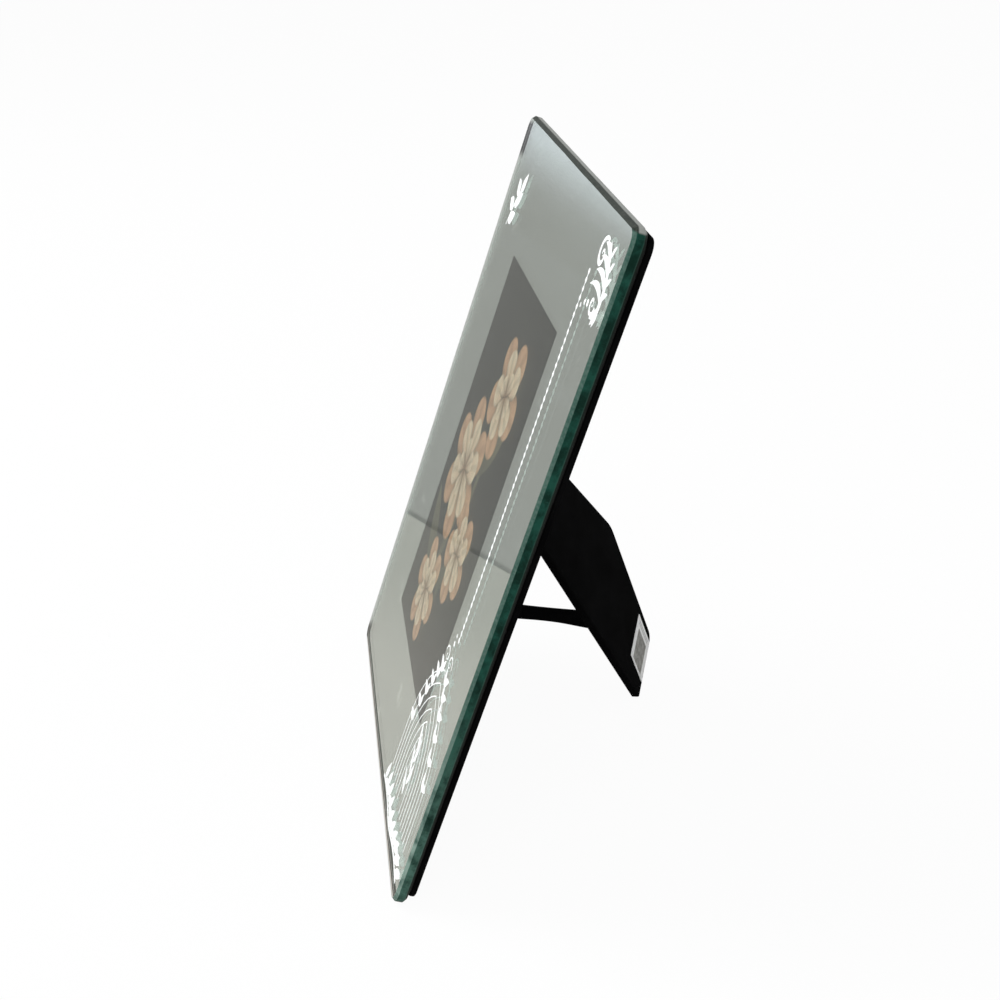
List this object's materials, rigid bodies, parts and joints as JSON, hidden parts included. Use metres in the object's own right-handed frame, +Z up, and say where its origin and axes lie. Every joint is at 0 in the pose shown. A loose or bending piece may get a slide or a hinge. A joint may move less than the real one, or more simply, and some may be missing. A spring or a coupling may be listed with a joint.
{
  "type": "photo frame",
  "caption": "Free-standing mirrored glass photo frame with a slide-in picture pocket and a hinged, ribbon-stayed easel strut.",
  "frame": {"origin": "middle of the bounding box, at the height of the table the frame stands on", "axes": "+Z up from the table; -Y out of the picture side, level; +X to the viewer's right. The glass leans back 17.9 degrees from upright."},
  "size_m": [0.18, 0.1148, 0.2148],
  "materials": {
    "glass": "clear float glass, polished bevelled edges with a green tint",
    "silvering": "silvered, backed with dark paint",
    "picture": "printed photo paper, satin",
    "card": "plain grey board",
    "black_card": "black board, matte",
    "board": "dense grey board",
    "flock": "black velvet flock",
    "lining": "black paper, matte",
    "label": "white self-adhesive paper",
    "ribbon": "black woven ribbon",
    "steel": "bright zinc plated"
  },
  "bodies": {
    "plate": {"front_glass": "glass", "mirror_coating": "silvering", "spacer_left": "black_card", "spacer_right": "black_card", "spacer_bottom": "black_card", "board_core": "board", "board_flock": "flock", "hinge_leaf_board": "steel", "hinge_pin": "steel", "board_rivets": "steel", "board_staple": "steel", "stay_ribbon": "ribbon"},
    "strut": {"strut_core": "board", "strut_flock": "flock", "strut_lining": "lining", "strut_label": "label", "hinge_leaf_strut": "steel", "strut_rivets": "steel", "strut_staple": "steel"},
    "picture": {"photo_print": "picture", "backer_card": "card"}
  },
  "joints": [
    {"name": "strut_hinge", "type": "hinge", "parent": "plate", "child": "strut", "pos_m": [0.0368, -0.00838, 0.12484], "axis": [-0.7071, 0.2171, 0.673], "range_deg": [0, 37.3], "deforming": ["stay_ribbon"]},
    {"name": "picture_slide", "type": "slide", "parent": "plate", "child": "picture", "axis": [0, 0.307, 0.9517], "range_m": [0, 0.185]}
  ]
}
